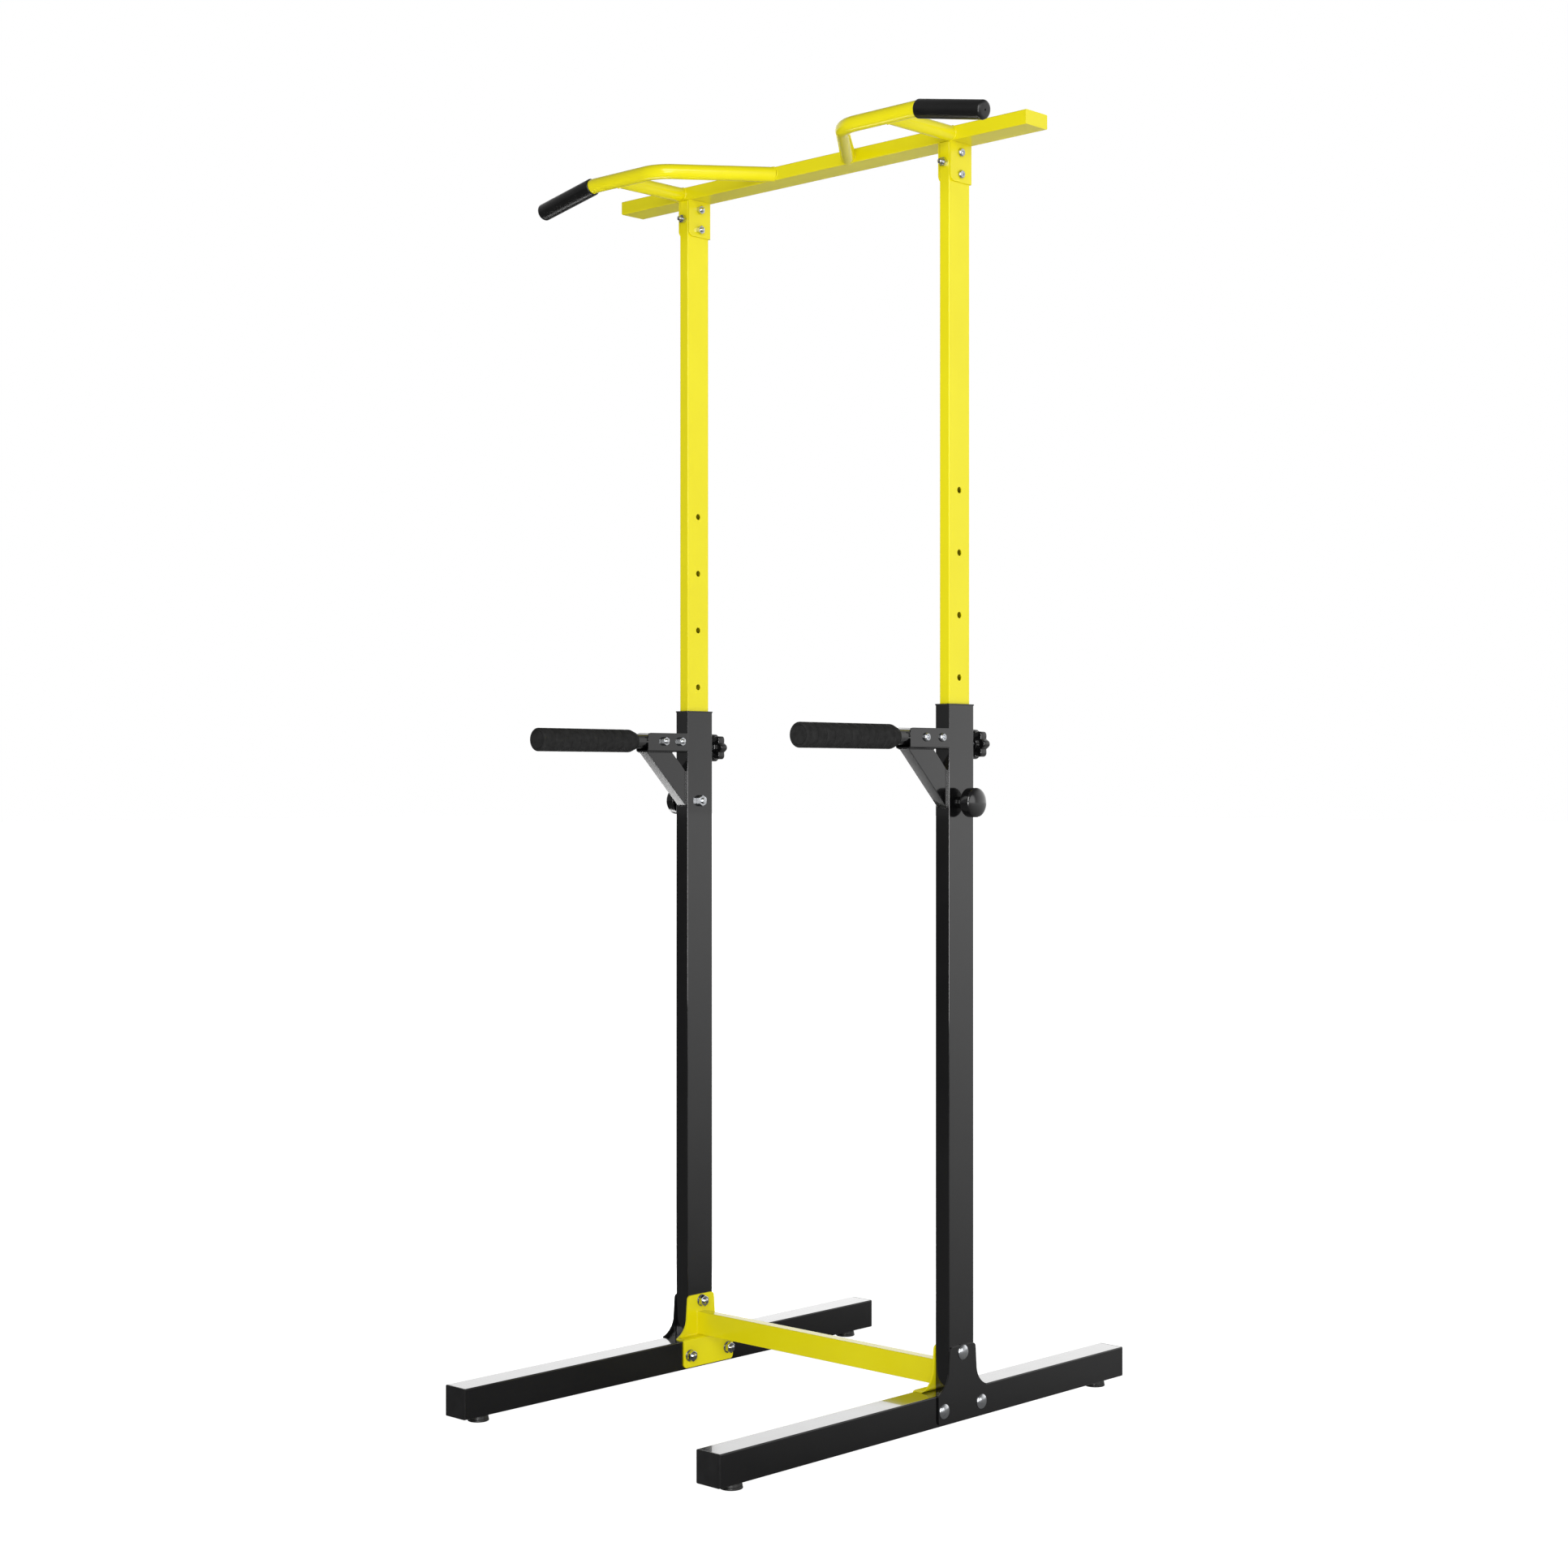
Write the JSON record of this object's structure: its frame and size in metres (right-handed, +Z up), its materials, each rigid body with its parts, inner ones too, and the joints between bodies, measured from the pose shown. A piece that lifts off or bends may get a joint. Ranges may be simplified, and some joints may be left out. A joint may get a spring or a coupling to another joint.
{
  "type": "power tower",
  "caption": "Free-standing power tower: a pull-up bar with cranked handles on twin telescopic posts locked by pins, dip handles in front and two base rails on rubber feet.",
  "frame": {"origin": "on the floor, under the middle of the two base rails", "axes": "+X from the left post to the right post as seen from the front, -Y to the front where the dip handles are, +Z up"},
  "size_m": [1.0106, 0.98, 2.0822],
  "materials": {
    "black_paint": "gloss black powder coat",
    "yellow_paint": "gloss lemon yellow powder coat",
    "zinc_steel": "bright zinc plate",
    "ribbed_rubber": "matte ribbed rubber",
    "smooth_rubber": "smooth dipped vinyl",
    "foot_rubber": "matte",
    "knob_plastic": "polished moulding",
    "liner_plastic": "plain moulding",
    "cap_plastic": "satin moulding"
  },
  "bodies": {
    "base": {"base_bolts": "zinc_steel", "base_nuts": "zinc_steel", "base_washers": "zinc_steel", "clamp_nuts": "zinc_steel", "crossbar": "yellow_paint", "dip_bolts": "zinc_steel", "dip_nuts": "zinc_steel", "foot_screws": "zinc_steel", "left_base_rail": "black_paint", "left_dip_arm": "black_paint", "left_dip_brace": "black_paint", "left_dip_grip": "ribbed_rubber", "left_dip_handle": "black_paint", "left_guide_sleeve": "liner_plastic", "left_inner_plate": "yellow_paint", "left_lower_upright": "black_paint", "left_outer_plate": "black_paint", "left_rail_end_caps": "cap_plastic", "pin_nuts": "zinc_steel", "right_base_rail": "black_paint", "right_dip_arm": "black_paint", "right_dip_brace": "black_paint", "right_dip_grip": "ribbed_rubber", "right_dip_handle": "black_paint", "right_guide_sleeve": "liner_plastic", "right_inner_plate": "yellow_paint", "right_lower_upright": "black_paint", "right_outer_plate": "black_paint", "right_rail_end_caps": "cap_plastic", "rubber_feet": "foot_rubber"},
    "top_frame": {"bar_end_plates": "yellow_paint", "bracket_bolts": "zinc_steel", "bracket_nuts": "zinc_steel", "left_glide_plug": "liner_plastic", "left_handle_brace": "yellow_paint", "left_handle_grip": "smooth_rubber", "left_handle_tube": "yellow_paint", "left_top_bracket": "yellow_paint", "left_upper_upright": "yellow_paint", "pull_up_bar": "yellow_paint", "right_glide_plug": "liner_plastic", "right_handle_brace": "yellow_paint", "right_handle_grip": "smooth_rubber", "right_handle_tube": "yellow_paint", "right_top_bracket": "yellow_paint", "right_upper_upright": "yellow_paint"},
    "left_pin": {"left_pin_stud": "zinc_steel"},
    "left_pin_knob": {"left_pin_knob": "knob_plastic"},
    "left_clamp_screw": {"left_clamp_stud": "zinc_steel"},
    "left_clamp_knob": {"left_clamp_knob": "knob_plastic"},
    "right_pin": {"right_pin_stud": "zinc_steel"},
    "right_pin_knob": {"right_pin_knob": "knob_plastic"},
    "right_clamp_screw": {"right_clamp_stud": "zinc_steel"},
    "right_clamp_knob": {"right_clamp_knob": "knob_plastic"}
  },
  "joints": [
    {"name": "height_slide", "type": "slide", "parent": "base", "child": "top_frame", "axis": [0, 0, 1], "range_m": [-0.5, 0.1]},
    {"name": "left_pin_pull", "type": "slide", "parent": "base", "child": "left_pin", "axis": [-1, 0, 0], "range_m": [0, 0.038]},
    {"name": "left_pin_turn", "type": "hinge", "parent": "left_pin", "child": "left_pin_knob", "pos_m": [-0.34, 0.0565, 1.002], "axis": [-1, 0, 0], "range_deg": [0, 2160]},
    {"name": "left_clamp_feed", "type": "slide", "parent": "base", "child": "left_clamp_screw", "axis": [0, 1, 0], "range_m": [0, 0.0031]},
    {"name": "left_clamp_turn", "type": "hinge", "parent": "left_clamp_screw", "child": "left_clamp_knob", "pos_m": [-0.2985, 0.1, 1.096], "axis": [0, 1, 0], "range_deg": [0, 720]},
    {"name": "right_pin_pull", "type": "slide", "parent": "base", "child": "right_pin", "axis": [1, 0, 0], "range_m": [0, 0.038]},
    {"name": "right_pin_turn", "type": "hinge", "parent": "right_pin", "child": "right_pin_knob", "pos_m": [0.34, 0.0565, 1.002], "axis": [1, 0, 0], "range_deg": [0, 2160]},
    {"name": "right_clamp_feed", "type": "slide", "parent": "base", "child": "right_clamp_screw", "axis": [0, 1, 0], "range_m": [0, 0.0031]},
    {"name": "right_clamp_turn", "type": "hinge", "parent": "right_clamp_screw", "child": "right_clamp_knob", "pos_m": [0.2985, 0.1, 1.096], "axis": [0, 1, 0], "range_deg": [0, 720]}
  ],
  "couplings": [
    {"joint": "left_clamp_feed", "follows": "left_clamp_turn", "m_per_rad": 0.00023873},
    {"joint": "right_clamp_feed", "follows": "right_clamp_turn", "m_per_rad": 0.00023873}
  ]
}
